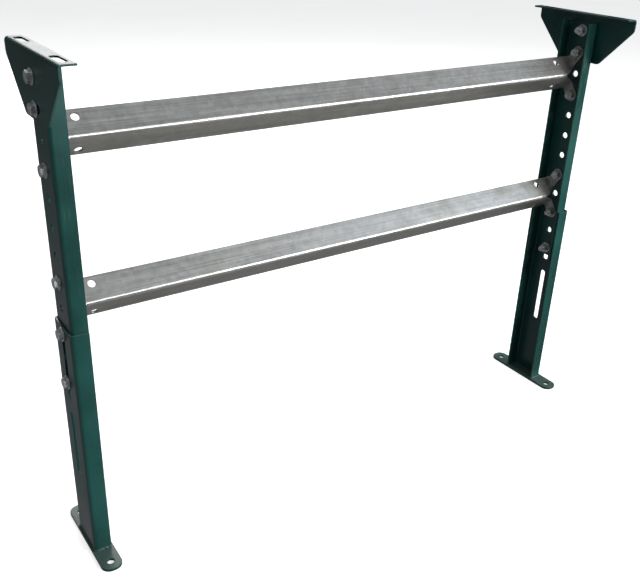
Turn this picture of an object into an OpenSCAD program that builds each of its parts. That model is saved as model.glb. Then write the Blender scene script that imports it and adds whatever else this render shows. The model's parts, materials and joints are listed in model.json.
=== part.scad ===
// Floor support stand for a conveyor. Two telescoping channel legs carry swivelling
// top brackets and are joined by two V-section cross members.
// Sizes are in millimetres. +X runs from the left leg to the right leg, +Y is the way
// the conveyor runs and +Z is up. The origin is on the floor, midway between the legs.
// Every leg piece is drawn for the right leg, and the left one is its mirror image.

/* [Stand] */
// Width over the outer faces of the upper legs
leg_span = 970; // [450:1:1400]
// Height from the floor to the tops of the brackets
stand_height = 739; // [700:1:950]
// Distance from one hole to the next along the upper legs
hole_pitch = 38.1; // [34:0.1:46]

/* [Upper legs] */
// Width of the channel, from front flange to back flange
upper_web = 60; // [50:0.5:80]
// Depth of the channel, from the web's outer face to the flange tips
upper_flange = 24; // [18:0.5:40]
// Sheet thickness of the legs
leg_sheet = 2.7; // [2:0.1:4]
// Inside radius of the bends in the legs
leg_bend = 3; // [1:0.5:4]
// Steel above the top hole
upper_top_margin = 15; // [10:0.5:18]
// Steel below the bottom hole
upper_end_margin = 15; // [10:0.5:18]

/* [Lower legs] */
// Gap between the sliding webs
slide_gap = 0.3; // [0.3:0.1:1]
// Gap between each lower flange and the upper flange inside it
flange_gap = 1.8; // [0.5:0.1:3]
// Depth of the channel, from the web's outer face to the flange tips
lower_flange = 26; // [20:0.5:42]
// Length of each adjusting slot
adjust_slot_length = 110; // [96:0.5:120]
// Steel between the two adjusting slots
slot_bridge = 24.4; // [12:0.1:40]
// Spare length of the upper slot above its top bolt
slot_spare = 1.5; // [1:0.1:3]
// Steel above the upper adjusting slot
lower_top_margin = 4.4; // [3:0.1:10]

/* [Feet] */
// Length of a foot plate
foot_length = 162; // [130:1:200]
// Width of a foot plate
foot_width = 32; // [30:0.5:50]
// Thickness of a foot plate
foot_sheet = 4.8; // [3:0.1:10]
// Radius of the foot plate's corners
foot_corner = 14; // [2:0.5:14.5]
// How far the foot plate stands out past the lower leg
foot_lip = 3; // [3:0.5:8]
// Distance between the two anchor holes
anchor_spacing = 128; // [96:1:136]
// Diameter of the anchor holes
anchor_hole = 11; // [8:0.5:14]
// Leg length of the weld bead
weld_size = 2.5; // [2:0.5:3]

/* [Swivel brackets] */
// Length of the bracket along the conveyor
bracket_length = 207; // [190:1:260]
// Width of the top flange that the conveyor rests on
bracket_flange = 22; // [20:0.5:40]
// Sheet thickness of the brackets
bracket_sheet = 2.7; // [2:0.1:4]
// Inside radius of the bracket's bend
bracket_bend = 3; // [1:0.5:4]
// Height of the short upright ends
bracket_end_height = 20.5; // [12:0.5:25]
// Distance from the top of the bracket to its bottom edge
bracket_drop = 84; // [80:1:100]
// Width of the bottom edge
bracket_foot_width = 84; // [60:1:110]
// Radius of the bottom corners
bracket_corner = 10; // [3:0.5:14]
// Distance from the top of the bracket to its pivot
pivot_drop = 31; // [28:0.5:36]
// Gap between the bracket and the upper leg
swivel_gap = 0.3; // [0.3:0.1:1]
// Radial clearance of the bracket on its pivot bolt
pivot_clearance = 0.08; // [0.02:0.01:0.1]
// Tilt of the bracket each way
tilt_range = 18; // [5:1:20]
// Distance between the centres of the two top slots
top_slot_spacing = 140; // [120:1:150]
// Length of a top slot
top_slot_length = 42; // [20:1:48]
// Width of a top slot
top_slot_width = 11; // [8:0.5:12]
// Distance from the bracket's outer face to the middle of the top slots
top_slot_inset = 12; // [11:0.5:12.5]

/* [Cross members] */
// Width of each face of the V
brace_face = 40; // [36:0.5:42]
// Sheet thickness of the cross members
brace_sheet = 2.7; // [2:0.1:4]
// Angle between the two faces of the V
brace_angle = 94; // [90:1:98]
// Inside radius of the V's bend
brace_bend = 3; // [1:0.5:4]
// Gap between the V's back edges and the inside of the leg's back flange
brace_back_gap = 7; // [4:0.5:10]
// Length of the notch at each end of the bend
brace_notch = 31; // [15:0.5:45]
// Distance along each face from the bend to the end tab
brace_tab_start = 18; // [14:0.5:20]
// Radius of the round end of a tab
brace_tab_radius = 11; // [10:0.5:12]
// Diameter of the spare hole in each face
brace_hole = 11; // [6:0.5:12]
// Distance from the bend to the spare hole, along the face
brace_hole_reach = 29; // [26:0.5:32]
// Distance from the leg's outer face to the spare hole
brace_hole_inset = 47; // [45:0.5:70]

/* [Fasteners] */
// Diameter of the bolts
bolt_size = 9.5; // [8:0.1:10]
// Diameter of the bolt holes, and width of the adjusting slots
bolt_hole = 11; // [10.5:0.1:12]
// Length of the bolts that pass through a bracket or a lower leg
long_bolt = 25.4; // [23:0.1:30]
// Length of the bolts that hold only a cross member to a leg
short_bolt = 19; // [18:0.5:26]
// Width of bolt heads and nuts across their flats
hex_flats = 14.3; // [13:0.1:15]
// Height of a bolt head
head_height = 5.9; // [5:0.1:8]
// Height of a nut
nut_height = 8.3; // [6:0.1:9]
// Outside diameter of a washer
washer_size = 20.6; // [18:0.1:21]
// Thickness of a washer
washer_sheet = 1.6; // [1:0.1:2]
// Radial gap between a bolt and the nut or washer on it
thread_gap = 0.05; // [0.03:0.01:0.1]

/* [Hidden] */
$fn = 64;
green = "#1f4a42";
dark_green = "#1b3a34";
galvanised = "#b4b4ac";
zinc = "#d2d4d2";
past = 1;

// Places along the row of holes, counted in pitches up from the empty hole
// that shows between the two tabs of the upper cross member.
pivot_row = 2;
tilt_row = 1;
upper_brace_row = 0;
lower_brace_row = -6;
clamp_row = -9;
first_row = clamp_row;
tab_step = 1;

pivot_z = stand_height - pivot_drop;
upper_top = pivot_z + upper_top_margin;
upper_bottom = row_z(first_row) - upper_end_margin;
web_out = leg_span / 2;
web_in = web_out - leg_sheet;
lower_web = upper_web + 2 * (flange_gap + leg_sheet);
lower_out = web_out + slide_gap + leg_sheet;
upper_slot_top = row_z(lower_brace_row - tab_step) + bolt_hole / 2 + slot_spare;
upper_slot_middle = upper_slot_top - adjust_slot_length / 2;
lower_slot_middle = upper_slot_middle - adjust_slot_length - slot_bridge;
lower_top = upper_slot_top + lower_top_margin;
foot_out = lower_out + foot_lip;
foot_middle = foot_out - foot_width / 2;
bracket_in = web_out + swivel_gap;
bracket_out = bracket_in + bracket_sheet;
brace_half = brace_angle / 2;
brace_depth = brace_face * cos(brace_half) + brace_sheet * sin(brace_half);
// How far the V's bend lies in front of the middle of the leg
brace_forward = brace_depth + brace_back_gap + leg_sheet - upper_web / 2;

// Where each bolt's stack ends: the first two on the outside, the others on the inside
past_bracket = bracket_out + swivel_gap;
past_lower_leg = lower_out + slide_gap;
tab_in = web_in - brace_sheet;
washer_in = web_in - washer_sheet;

// A cross member's bolt, measured from the V's bend along its face and square to it
tab_reach = brace_forward * cos(brace_half) + tab_step * hole_pitch * sin(brace_half);
tab_stand = tab_step * hole_pitch * cos(brace_half) - brace_forward * sin(brace_half);

SIDES = ["left", "right"];

// Height of a hole in the row along the leg
function row_z(row) = pivot_z + (row - pivot_row) * hole_pitch;

// Helpers for outlines with round corners
function unit(v) = v / norm(v);
function turn(a, b, c) = acos(unit(a - b) * unit(c - b));
function toward(a, b, c, r) = b + unit(a - b) * r / tan(turn(a, b, c) / 2);
function corner_centre(a, b, c, r) =
  b + unit(unit(a - b) + unit(c - b)) * r / sin(turn(a, b, c) / 2);

// Places its children on the left or the right leg
module on_side(side) {
  if (side == "right")
    children();
  else
    mirror([1, 0, 0]) children();
}

// Stands a flat shape up across X: its x becomes Y and its y becomes Z
module across(x) {
  translate([x, 0, 0]) rotate([90, 0, 90]) children();
}

// Stands a flat shape up across Y, centred: its y becomes Z
module along_y(length) {
  translate([0, length / 2, 0]) rotate([90, 0, 0]) linear_extrude(length) children();
}

// Convex outline with a radius at each corner; a radius of 0 leaves it sharp
module round_outline(corners, radii) {
  last = len(corners) - 1;
  polygon([for (i = [0 : last])
    let (before = corners[i == 0 ? last : i - 1],
         here = corners[i],
         next = corners[i == last ? 0 : i + 1])
    each radii[i] == 0 ? [here]
      : [toward(before, here, next, radii[i]), toward(next, here, before, radii[i])]]);
  for (i = [0 : last])
    if (radii[i] > 0)
      translate(corner_centre(corners[i == 0 ? last : i - 1], corners[i],
                              corners[i == last ? 0 : i + 1], radii[i]))
        circle(r = radii[i]);
}

// Rectangle from the point low to the point high, with one radius on all corners
module round_plate(low, high, radius) {
  round_outline([low, [high.x, low.y], high, [low.x, high.y]],
                [radius, radius, radius, radius]);
}

// Outline of a channel that opens towards the middle of the stand
module channel_outline(outer_face, width, depth, sheet, bend) {
  difference() {
    round_outline([[outer_face - depth, -width / 2], [outer_face, -width / 2],
                   [outer_face, width / 2], [outer_face - depth, width / 2]],
                  [0, bend + sheet, bend + sheet, 0]);
    round_outline([[outer_face - depth - past, -width / 2 + sheet],
                   [outer_face - sheet, -width / 2 + sheet],
                   [outer_face - sheet, width / 2 - sheet],
                   [outer_face - depth - past, width / 2 - sheet]],
                  [0, bend, bend, 0]);
  }
}

// Slot outline centred on the origin, long in y
module slot_outline(length, width) {
  translate([-width / 2, -(length - width) / 2]) square([width, length - width]);
  for (end = [-1, 1])
    translate([0, end * (length - width) / 2]) circle(d = width);
}

module upper_leg() {
  color(green)
    difference() {
      translate([0, 0, upper_bottom])
        linear_extrude(upper_top - upper_bottom)
          channel_outline(web_out, upper_web, upper_flange, leg_sheet, leg_bend);
      for (row = [first_row : pivot_row])
        across(web_in - past)
          translate([0, row_z(row), 0]) cylinder(h = leg_sheet + 2 * past, d = bolt_hole);
    }
}

module lower_leg() {
  color(green)
    difference() {
      translate([0, 0, foot_sheet])
        linear_extrude(lower_top - foot_sheet)
          channel_outline(lower_out, lower_web, lower_flange, leg_sheet, leg_bend);
      for (middle = [upper_slot_middle, lower_slot_middle])
        across(web_out - past)
          translate([0, middle, 0])
            linear_extrude(slide_gap + leg_sheet + 2 * past)
              slot_outline(adjust_slot_length, bolt_hole);
    }
}

module foot_plate() {
  color(dark_green)
    difference() {
      linear_extrude(foot_sheet)
        round_plate([foot_out - foot_width, -foot_length / 2],
                    [foot_out, foot_length / 2], foot_corner);
      for (end = [-1, 1])
        translate([foot_middle, end * anchor_spacing / 2, -past])
          cylinder(h = foot_sheet + 2 * past, d = anchor_hole);
    }
}

module bead_outline() {
  polygon([[0, 0], [weld_size, 0], [0, weld_size]]);
}

// Fillet weld round the outside of the lower leg, where it stands on its foot plate
module foot_weld() {
  bend = leg_bend + leg_sheet;
  straight = lower_web / 2 - bend;
  color(dark_green)
    translate([lower_out, 0, foot_sheet]) {
      along_y(2 * straight) bead_outline();
      for (end = [0, 1])
        mirror([0, end, 0]) {
          translate([-bend, straight, 0])
            rotate_extrude(angle = 90) translate([bend, 0]) bead_outline();
          translate([0, lower_web / 2, 0])
            across(-lower_flange) linear_extrude(lower_flange - bend) bead_outline();
        }
    }
}

// Outline of the bracket's web, below the bend, with the pivot at the origin
module bracket_outline() {
  top = pivot_drop - bracket_bend - bracket_sheet;
  shoulder = pivot_drop - bracket_end_height;
  bottom = pivot_drop - bracket_drop;
  end = bracket_length / 2;
  foot = bracket_foot_width / 2;
  round_outline([[-end, top], [-end, shoulder], [-foot, bottom],
                 [foot, bottom], [end, shoulder], [end, top]],
                [0, bracket_corner, bracket_corner, bracket_corner, bracket_corner, 0]);
}

// Curved slot below the pivot, in which the tilt lock bolt runs
module tilt_slot(depth) {
  radius = (pivot_row - tilt_row) * hole_pitch;
  rotate([0, 0, -90 - tilt_range])
    rotate_extrude(angle = 2 * tilt_range)
      translate([radius - bolt_hole / 2, 0]) square([bolt_hole, depth]);
  for (end = [-1, 1])
    rotate([0, 0, -90 + end * tilt_range])
      translate([radius, 0, 0]) cylinder(h = depth, d = bolt_hole);
}

module swivel_bracket() {
  bend = bracket_bend + bracket_sheet;
  color(green)
    translate([0, 0, pivot_z])
      difference() {
        union() {
          across(bracket_in)
            linear_extrude(bracket_sheet) bracket_outline();
          along_y(bracket_length)
            translate([bracket_out, pivot_drop])
              difference() {
                round_outline([[-bracket_flange, -2 * bend], [0, -2 * bend],
                               [0, 0], [-bracket_flange, 0]], [0, 0, bend, 0]);
                round_outline([[-bracket_flange - past, -2 * bend - past],
                               [-bracket_sheet, -2 * bend - past],
                               [-bracket_sheet, -bracket_sheet],
                               [-bracket_flange - past, -bracket_sheet]],
                              [0, 0, bracket_bend, 0]);
              }
        }
        across(bracket_in - past) {
          cylinder(h = bracket_sheet + 2 * past, r = bolt_size / 2 + pivot_clearance);
          tilt_slot(bracket_sheet + 2 * past);
        }
        for (end = [-1, 1])
          translate([bracket_out - top_slot_inset, end * top_slot_spacing / 2,
                     pivot_drop - bracket_sheet - past])
            linear_extrude(bracket_sheet + 2 * past)
              slot_outline(top_slot_length, top_slot_width);
      }
}

// Outline of the V. Its bend is at the origin and points along -x, to the front
module brace_outline() {
  far = 2 * brace_face;
  intersection() {
    for (face = [0, 1])
      mirror([0, face])
        rotate(brace_half)
          translate([0, -brace_sheet]) square([brace_face, brace_sheet]);
    round_outline([[0, 0], [far * cos(brace_half), -far * sin(brace_half)],
                   [2 * far, 0], [far * cos(brace_half), far * sin(brace_half)]],
                  [brace_bend + brace_sheet, 0, 0, 0]);
  }
}

// Outline of an end tab. The face of the V lies along x, and the tab stands up in y
module tab_outline() {
  polygon([[brace_tab_start, -brace_sheet], [brace_face, -brace_sheet], [brace_face, 0],
           [tab_reach + brace_tab_radius, tab_stand],
           [tab_reach - brace_tab_radius, tab_stand], [brace_tab_start, 0]]);
  translate([tab_reach, tab_stand]) circle(r = brace_tab_radius);
}

// Wedge that clears the V's bend away from the empty hole in the leg
module brace_notch_cut() {
  mouth = brace_tab_start * sin(brace_half);
  slope = mouth / brace_notch;
  along_y(4 * brace_face)
    polygon([[web_in - brace_notch, 0], [web_in + past, mouth + past * slope],
             [web_in + past, -mouth - past * slope]]);
}

module cross_member(row) {
  color(galvanised)
    translate([0, -brace_forward, row_z(row)])
      for (side = SIDES)
        on_side(side)
          difference() {
            union() {
              difference() {
                across(0) linear_extrude(web_in) brace_outline();
                brace_notch_cut();
              }
              for (face = [0, 1])
                across(tab_in)
                  linear_extrude(brace_sheet)
                    mirror([0, face]) rotate(brace_half) tab_outline();
            }
            for (face = [0, 1]) {
              across(tab_in - past)
                mirror([0, face]) rotate(brace_half)
                  translate([tab_reach, tab_stand, 0])
                    cylinder(h = brace_sheet + 2 * past, d = bolt_hole);
              across(web_out - brace_hole_inset)
                mirror([0, face]) rotate(brace_half)
                  translate([brace_hole_reach, past, 0]) rotate([90, 0, 0])
                    cylinder(h = brace_sheet + 2 * past, d = brace_hole);
            }
          }
}

module hex_prism(height) {
  cylinder(h = height, d = hex_flats / cos(30), $fn = 6);
}

// Bolt whose head seats at x, on the outside, and whose shank points inwards
module bolt(row, x, length) {
  color(zinc)
    across(x)
      translate([0, row_z(row), 0]) {
        hex_prism(head_height);
        translate([0, 0, -length]) cylinder(h = length, d = bolt_size);
      }
}

// Nut that seats at x, on the inside
module nut(row, x) {
  color(zinc)
    across(x - nut_height)
      translate([0, row_z(row), 0])
        difference() {
          hex_prism(nut_height);
          translate([0, 0, -past])
            cylinder(h = nut_height + 2 * past, d = bolt_size + 2 * thread_gap);
        }
}

// Washer whose inner face is at x
module washer(row, x) {
  color(zinc)
    across(x)
      translate([0, row_z(row), 0])
        difference() {
          cylinder(h = washer_sheet, d = washer_size);
          translate([0, 0, -past])
            cylinder(h = washer_sheet + 2 * past, d = bolt_size + 2 * thread_gap);
        }
}

// Rows of the bolts that hold only a cross member to a leg
brace_rows = [upper_brace_row - tab_step, lower_brace_row + tab_step];
// The bolt that also holds the lower cross member's bottom tab
shared_clamp_row = lower_brace_row - tab_step;
clamp_rows = [shared_clamp_row, clamp_row];

module brace_bolts() {
  for (row = brace_rows) bolt(row, web_out + washer_sheet, short_bolt);
}

module brace_nuts() {
  for (row = brace_rows) nut(row, tab_in);
}

module brace_washers() {
  for (row = brace_rows) washer(row, web_out);
}

module leg_clamp_bolts() {
  for (row = clamp_rows) bolt(row, past_lower_leg + washer_sheet, long_bolt);
}

module leg_clamp_nuts() {
  nut(shared_clamp_row, tab_in);
  nut(clamp_row, washer_in);
}

module leg_clamp_washers() {
  for (row = clamp_rows) washer(row, past_lower_leg);
  washer(clamp_row, washer_in);
}

module pivot_washers() {
  washer(pivot_row, past_bracket);
  washer(pivot_row, washer_in);
}

cross_member(upper_brace_row);  // upper_cross_member
cross_member(lower_brace_row);  // lower_cross_member
for (side = SIDES) {
  on_side(side) {
    upper_leg();
    lower_leg();
    foot_plate();
    foot_weld();
    swivel_bracket();
    bolt(pivot_row, past_bracket + washer_sheet, long_bolt);
    nut(pivot_row, washer_in);
    pivot_washers();
    bolt(tilt_row, past_bracket + washer_sheet, long_bolt);
    nut(tilt_row, tab_in);
    washer(tilt_row, past_bracket);
    brace_bolts();
    brace_nuts();
    brace_washers();
    leg_clamp_bolts();
    leg_clamp_nuts();
    leg_clamp_washers();
  }
}
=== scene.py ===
"""Finished look of a conveyor support stand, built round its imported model.

Every piece is modelled at its real size and place, in metres, in the frame of the
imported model: +X from the left leg to the right leg, +Y along the conveyor, +Z up.
"""

import json
import logging
import math
import random
from contextlib import contextmanager
from dataclasses import dataclass, field
from enum import Enum
from typing import Any, Callable, Iterator

import bmesh
import bpy
from bpy.types import Material, Node, NodeTree, Object
from mathutils import Matrix, Vector


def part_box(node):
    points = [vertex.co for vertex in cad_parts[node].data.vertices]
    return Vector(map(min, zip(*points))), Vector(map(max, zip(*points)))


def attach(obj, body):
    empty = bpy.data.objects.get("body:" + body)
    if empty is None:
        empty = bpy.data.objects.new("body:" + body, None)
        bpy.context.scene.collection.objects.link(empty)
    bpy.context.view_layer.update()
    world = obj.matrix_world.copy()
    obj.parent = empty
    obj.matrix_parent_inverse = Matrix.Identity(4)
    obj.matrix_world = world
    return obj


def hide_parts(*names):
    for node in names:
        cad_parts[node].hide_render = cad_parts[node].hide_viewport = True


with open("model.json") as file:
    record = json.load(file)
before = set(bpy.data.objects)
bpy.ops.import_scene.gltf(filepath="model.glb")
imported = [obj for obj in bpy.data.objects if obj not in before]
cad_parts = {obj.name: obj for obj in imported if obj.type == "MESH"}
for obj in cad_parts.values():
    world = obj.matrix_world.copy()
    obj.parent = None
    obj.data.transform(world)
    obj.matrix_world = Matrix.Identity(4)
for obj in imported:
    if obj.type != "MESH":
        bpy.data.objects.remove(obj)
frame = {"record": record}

LOG = logging.getLogger("support_stand")
MM = 0.001
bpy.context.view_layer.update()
# How far a cutter stands out past what it cuts
OVERCUT = 1 * MM
# Points this close in height count as level
LEVEL = 0.01 * MM
# A face looks along an axis when its normal has more than this on it
FACING = 0.9
# Doubled points and slivers up to these sizes, which cutting leaves, are closed
DOUBLED = 0.002 * MM
SLIVER = 0.004 * MM
# Between these angles a surface is flat, a smooth bend, or an edge to be rounded
FLAT_ANGLE = math.radians(0.5)
SMOOTH_ANGLE = math.radians(32)
SHARP_ANGLE = math.radians(38)
# Steps of a bend in a channel or a bracket
BEND_STEPS = 8


class Side(Enum):
    """A leg of the stand. The value is the sign of its X."""

    LEFT = -1
    RIGHT = 1

    @property
    def label(self) -> str:
        """Start of the names of this side's nodes and bodies."""
        return self.name.lower()

    def node(self, part: str) -> str:
        """Name of this side's node or body for a part."""
        return f"{self.label}_{part}"


class Join(Enum):
    """What a second solid does to a first one."""

    CUT = "DIFFERENCE"
    WELD = "UNION"
    KEEP = "INTERSECT"


class Part(Enum):
    """Kind of mesh element that is picked in edit mode. The value is its list's name."""

    FACE = "faces"
    EDGE = "edges"
    VERT = "verts"


# Modelling steps


def select_only(piece: Object) -> None:
    """Makes a piece the only selected object, and the active one.

    Args:
        piece: The piece to select.
    """
    for other in bpy.context.selected_objects:
        other.select_set(False)
    bpy.context.view_layer.objects.active = piece
    piece.select_set(True)


@contextmanager
def editing(piece: Object) -> Iterator[None]:
    """Opens a piece in edit mode for as long as the block lasts.

    Args:
        piece: The piece to edit.
    """
    select_only(piece)
    bpy.ops.object.mode_set(mode="EDIT")
    yield
    bpy.ops.object.mode_set(mode="OBJECT")


def pick(piece: Object, part: Part, wanted: Callable[[Any], bool]) -> int:
    """Selects the elements of a piece in edit mode that pass a test.

    Args:
        piece: The piece, which is in edit mode.
        part: Kind of element to test.
        wanted: Test of one face, edge or point.

    Returns:
        How many elements were selected.
    """
    bpy.ops.mesh.select_mode(type=part.name)
    bpy.ops.mesh.select_all(action="DESELECT")
    shape = bmesh.from_edit_mesh(piece.data)
    elements = getattr(shape, part.value)
    elements.ensure_lookup_table()
    found = [element for element in elements if wanted(element)]
    for element in found:
        element.select_set(True)
    bmesh.update_edit_mesh(piece.data)
    return len(found)


def face_outwards() -> None:
    """Turns all the faces of the piece in edit mode outwards."""
    bpy.ops.mesh.select_all(action="SELECT")
    bpy.ops.mesh.normals_make_consistent(inside=False)


def settle(piece: Object) -> Object:
    """Moves a piece's place, turn and scale into its mesh, and returns it.

    Args:
        piece: The piece, which may stand anywhere.

    Returns:
        The piece, at the origin, unturned and unscaled.
    """
    select_only(piece)
    bpy.ops.object.transform_apply(location=True, rotation=True, scale=True)
    return piece


def newest(name: str) -> Object:
    """Names the primitive that was just added, with its place in its mesh.

    Args:
        name: Name of the piece and of its mesh.

    Returns:
        The piece.
    """
    piece = bpy.context.active_object
    piece.name = name
    piece.data.name = name
    return settle(piece)


def block(name: str, low: Vector, high: Vector) -> Object:
    """Adds a box between two corners."""
    bpy.ops.mesh.primitive_cube_add(size=1, location=(low + high) / 2, scale=high - low)
    return newest(name)


def rod(name: str, start: Vector, end: Vector, radius: float, sides: int = 48) -> Object:
    """Adds a round bar from one point to another, turned so that no corner is on top.

    Args:
        name: Name of the new piece.
        start: Centre of one end.
        end: Centre of the other end.
        radius: Radius of the bar.
        sides: Number of sides.

    Returns:
        The bar.
    """
    along = end - start
    turn = along.to_track_quat("Z", "Y").to_matrix()
    turn = turn @ Matrix.Rotation(math.pi / sides, 3, "Z")
    bpy.ops.mesh.primitive_cylinder_add(
        vertices=sides,
        radius=radius,
        depth=along.length,
        location=(start + end) / 2,
        rotation=turn.to_euler(),
    )
    return newest(name)


def through_web(name: str, ends: list[float], spot: Vector, radius: float) -> Object:
    """Adds a round bar along X, as the cutter of a hole through a web.

    Args:
        name: Name of the bar.
        ends: X of its two ends.
        spot: A point on its centre line, whose X doesn't count.
        radius: Radius of the hole.

    Returns:
        The bar.
    """
    start, end = (Vector((x, spot.y, spot.z)) for x in ends)
    return rod(name, start, end, radius)


def finish_with(piece: Object, kind: str, **settings: Any) -> None:
    """Adds a modifier with its settings and applies it.

    Args:
        piece: The piece to finish.
        kind: Blender's name of the modifier.
        settings: The modifier's settings.
    """
    select_only(piece)
    modifier = piece.modifiers.new(kind.lower(), kind)
    for setting, value in settings.items():
        setattr(modifier, setting, value)
    bpy.ops.object.modifier_apply(modifier=modifier.name)


def work(piece: Object, tool: Object, how: Join) -> None:
    """Cuts, welds or keeps a piece with a second solid, which is used up."""
    finish_with(piece, "BOOLEAN", object=tool, operation=how.value, solver="EXACT")
    bpy.data.objects.remove(tool)


def thicken(piece: Object, sheet: float) -> None:
    """Gives a surface its sheet thickness, on the side its faces turn away from."""
    finish_with(piece, "SOLIDIFY", thickness=sheet, offset=-1, use_even_offset=True)


def soften(piece: Object, width: float, segments: int = 2) -> None:
    """Rounds sheared, punched or forged edges, closes slivers and smooths the bends.

    Args:
        piece: The piece, which is done but for its edges.
        width: Width of the rounded edge.
        segments: Steps of the rounding.
    """
    with editing(piece):
        bpy.ops.mesh.select_all(action="SELECT")
        bpy.ops.mesh.remove_doubles(threshold=DOUBLED)
        bpy.ops.mesh.dissolve_limited(angle_limit=FLAT_ANGLE)
    finish_with(
        piece,
        "BEVEL",
        width=width,
        segments=segments,
        limit_method="ANGLE",
        angle_limit=SHARP_ANGLE,
        use_clamp_overlap=False,
    )
    with editing(piece):
        bpy.ops.mesh.select_all(action="SELECT")
        bpy.ops.mesh.remove_doubles(threshold=DOUBLED)
        bpy.ops.mesh.quads_convert_to_tris(quad_method="BEAUTY", ngon_method="BEAUTY")
        bpy.ops.mesh.dissolve_degenerate(threshold=SLIVER)
    select_only(piece)
    bpy.ops.object.shade_smooth_by_angle(angle=SMOOTH_ANGLE)
    finish_with(piece, "WEIGHTED_NORMAL", keep_sharp=True, weight=80)


def joined(name: str, pieces: list[Object]) -> Object:
    """Joins pieces into one object of that name.

    Args:
        name: Name of the object.
        pieces: The pieces, which are used up.

    Returns:
        The object.
    """
    select_only(pieces[0])
    for piece in pieces[1:]:
        piece.select_set(True)
    if len(pieces) > 1:
        bpy.ops.object.join()
    pieces[0].name = name
    pieces[0].data.name = name
    return pieces[0]


def copied(master: Object, turn: Matrix, place: Vector) -> Object:
    """Copies a master with a mesh of its own, turned and then moved.

    Args:
        master: The piece to copy.
        turn: How the copy is turned.
        place: Where the master's origin goes.

    Returns:
        The copy.
    """
    piece = master.copy()
    piece.data = master.data.copy()
    bpy.context.scene.collection.objects.link(piece)
    piece.matrix_world = Matrix.Translation(place) @ turn.to_4x4()
    return settle(piece)


def slot_tool(name: str, low: Vector, high: Vector, across: int, along: int) -> Object:
    """Adds the cutter of a slot with round ends.

    Args:
        name: Name of the cutter.
        low: Lowest corner of the box that the slot fills.
        high: Highest corner of that box.
        across: Axis of the slot's width.
        along: Axis of the slot's length.

    Returns:
        The cutter, through the box along the third axis.
    """
    radius = (high[across] - low[across]) / 2
    middle = (low + high) / 2
    through = 3 - across - along
    start, end = middle.copy(), middle.copy()
    start[through], end[through] = low[through], high[through]
    start[along] = end[along] = low[along] + radius
    tool = rod(name, start, end, radius)
    reach = Vector((0, 0, 0))
    reach[along] = high[along] - low[along] - 2 * radius
    split = start[along]
    with editing(tool):
        pick(tool, Part.VERT, lambda point: point.co[along] > split)
        bpy.ops.transform.translate(value=reach)
    return tool


# Finishes


def linear(code: str) -> tuple[float, float, float, float]:
    """Turns an sRGB hex colour into the linear colour that a shader takes.

    Args:
        code: The colour, as # and six hex digits.

    Returns:
        Its red, green, blue and alpha.
    """
    parts = [int(code[i : i + 2], 16) / 255 for i in (1, 3, 5)]
    red, green, blue = [
        part / 12.92 if part <= 0.04045 else ((part + 0.055) / 1.055) ** 2.4 for part in parts
    ]
    return red, green, blue, 1.0


def per(size_mm: float) -> float:
    """Scale of a pattern whose features are this many millimetres wide."""
    return 1 / (size_mm * MM)


def add_node(
    tree: NodeTree, kind: str, settings: dict[str, Any] | None = None, **links: Any
) -> Node:
    """Adds a shader node with its settings, values and links.

    Args:
        tree: The material's node tree.
        kind: Blender's type name of the node, without the ShaderNode that all begin with.
        settings: Properties of the node, and values of its inputs by name or number.
        links: Sources of its inputs, by input name with _ for a space, or by in0, in1.

    Returns:
        The new node.
    """
    node = tree.nodes.new(f"ShaderNode{kind}")
    for key, value in (settings or {}).items():
        if isinstance(key, str) and hasattr(node, key):
            setattr(node, key, value)
        else:
            node.inputs[key].default_value = value
    for key, source in links.items():
        number = key[2:] if key.startswith("in") and key[2:].isdigit() else ""
        target = node.inputs[int(number)] if number else node.inputs[key.replace("_", " ")]
        tree.links.new(source, target)
    return node


def ramp(tree: NodeTree, source: Any, stops: list[tuple[float, str]]) -> Any:
    """Adds a colour ramp over a value and returns its colour output.

    Args:
        tree: The material's node tree.
        source: Source of the value.
        stops: Place and hex colour of each stop, lowest first.

    Returns:
        Source of the colour.
    """
    node = add_node(tree, "ValToRGB", Fac=source)
    row = node.color_ramp.elements
    while len(row) < len(stops):
        row.new(0.5)
    for element, (place, code) in zip(row, stops):
        element.position = place
        element.color = linear(code)
    return node.outputs["Color"]


def laid_over(
    tree: NodeTree, below: Any, mask: Any, span: tuple[float, float], share: float, code: str
) -> Any:
    """Lays a colour over what is below it, by as much as a mask has risen.

    Args:
        tree: The material's node tree.
        below: Source of the colour below.
        mask: Source of the mask.
        span: Values of the mask between which the colour comes in.
        share: How much of the colour there is in the end.
        code: The colour, in hex.

    Returns:
        Source of the colour with the new one over it.
    """
    first, last = span
    risen = add_node(tree, "MapRange", {1: first, 2: last, 3: 0.0, 4: share}, Value=mask)
    settings = {"data_type": "RGBA", 7: linear(code)}
    return add_node(tree, "Mix", settings, in0=risen.outputs["Result"], in6=below).outputs[2]


@dataclass(frozen=True)
class Finish:
    """A surface finish. Subclasses say what the real one is and draw its nodes."""

    name: str

    def make(self) -> Material:
        """Makes the finish's material."""
        material = bpy.data.materials.new(self.name)
        material.use_nodes = True
        tree = material.node_tree
        tree.nodes.clear()
        shader = add_node(tree, "BsdfPrincipled")
        add_node(tree, "OutputMaterial", Surface=shader.outputs["BSDF"])
        place = add_node(tree, "TexCoord").outputs["Object"]
        self.draw(tree, shader, place)
        return material

    def draw(self, tree: NodeTree, shader: Node, place: Any) -> None:
        """Draws the finish's nodes.

        Args:
            tree: The material's node tree.
            shader: Its principled shader.
            place: Object coordinates, in metres.
        """
        raise NotImplementedError


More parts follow.
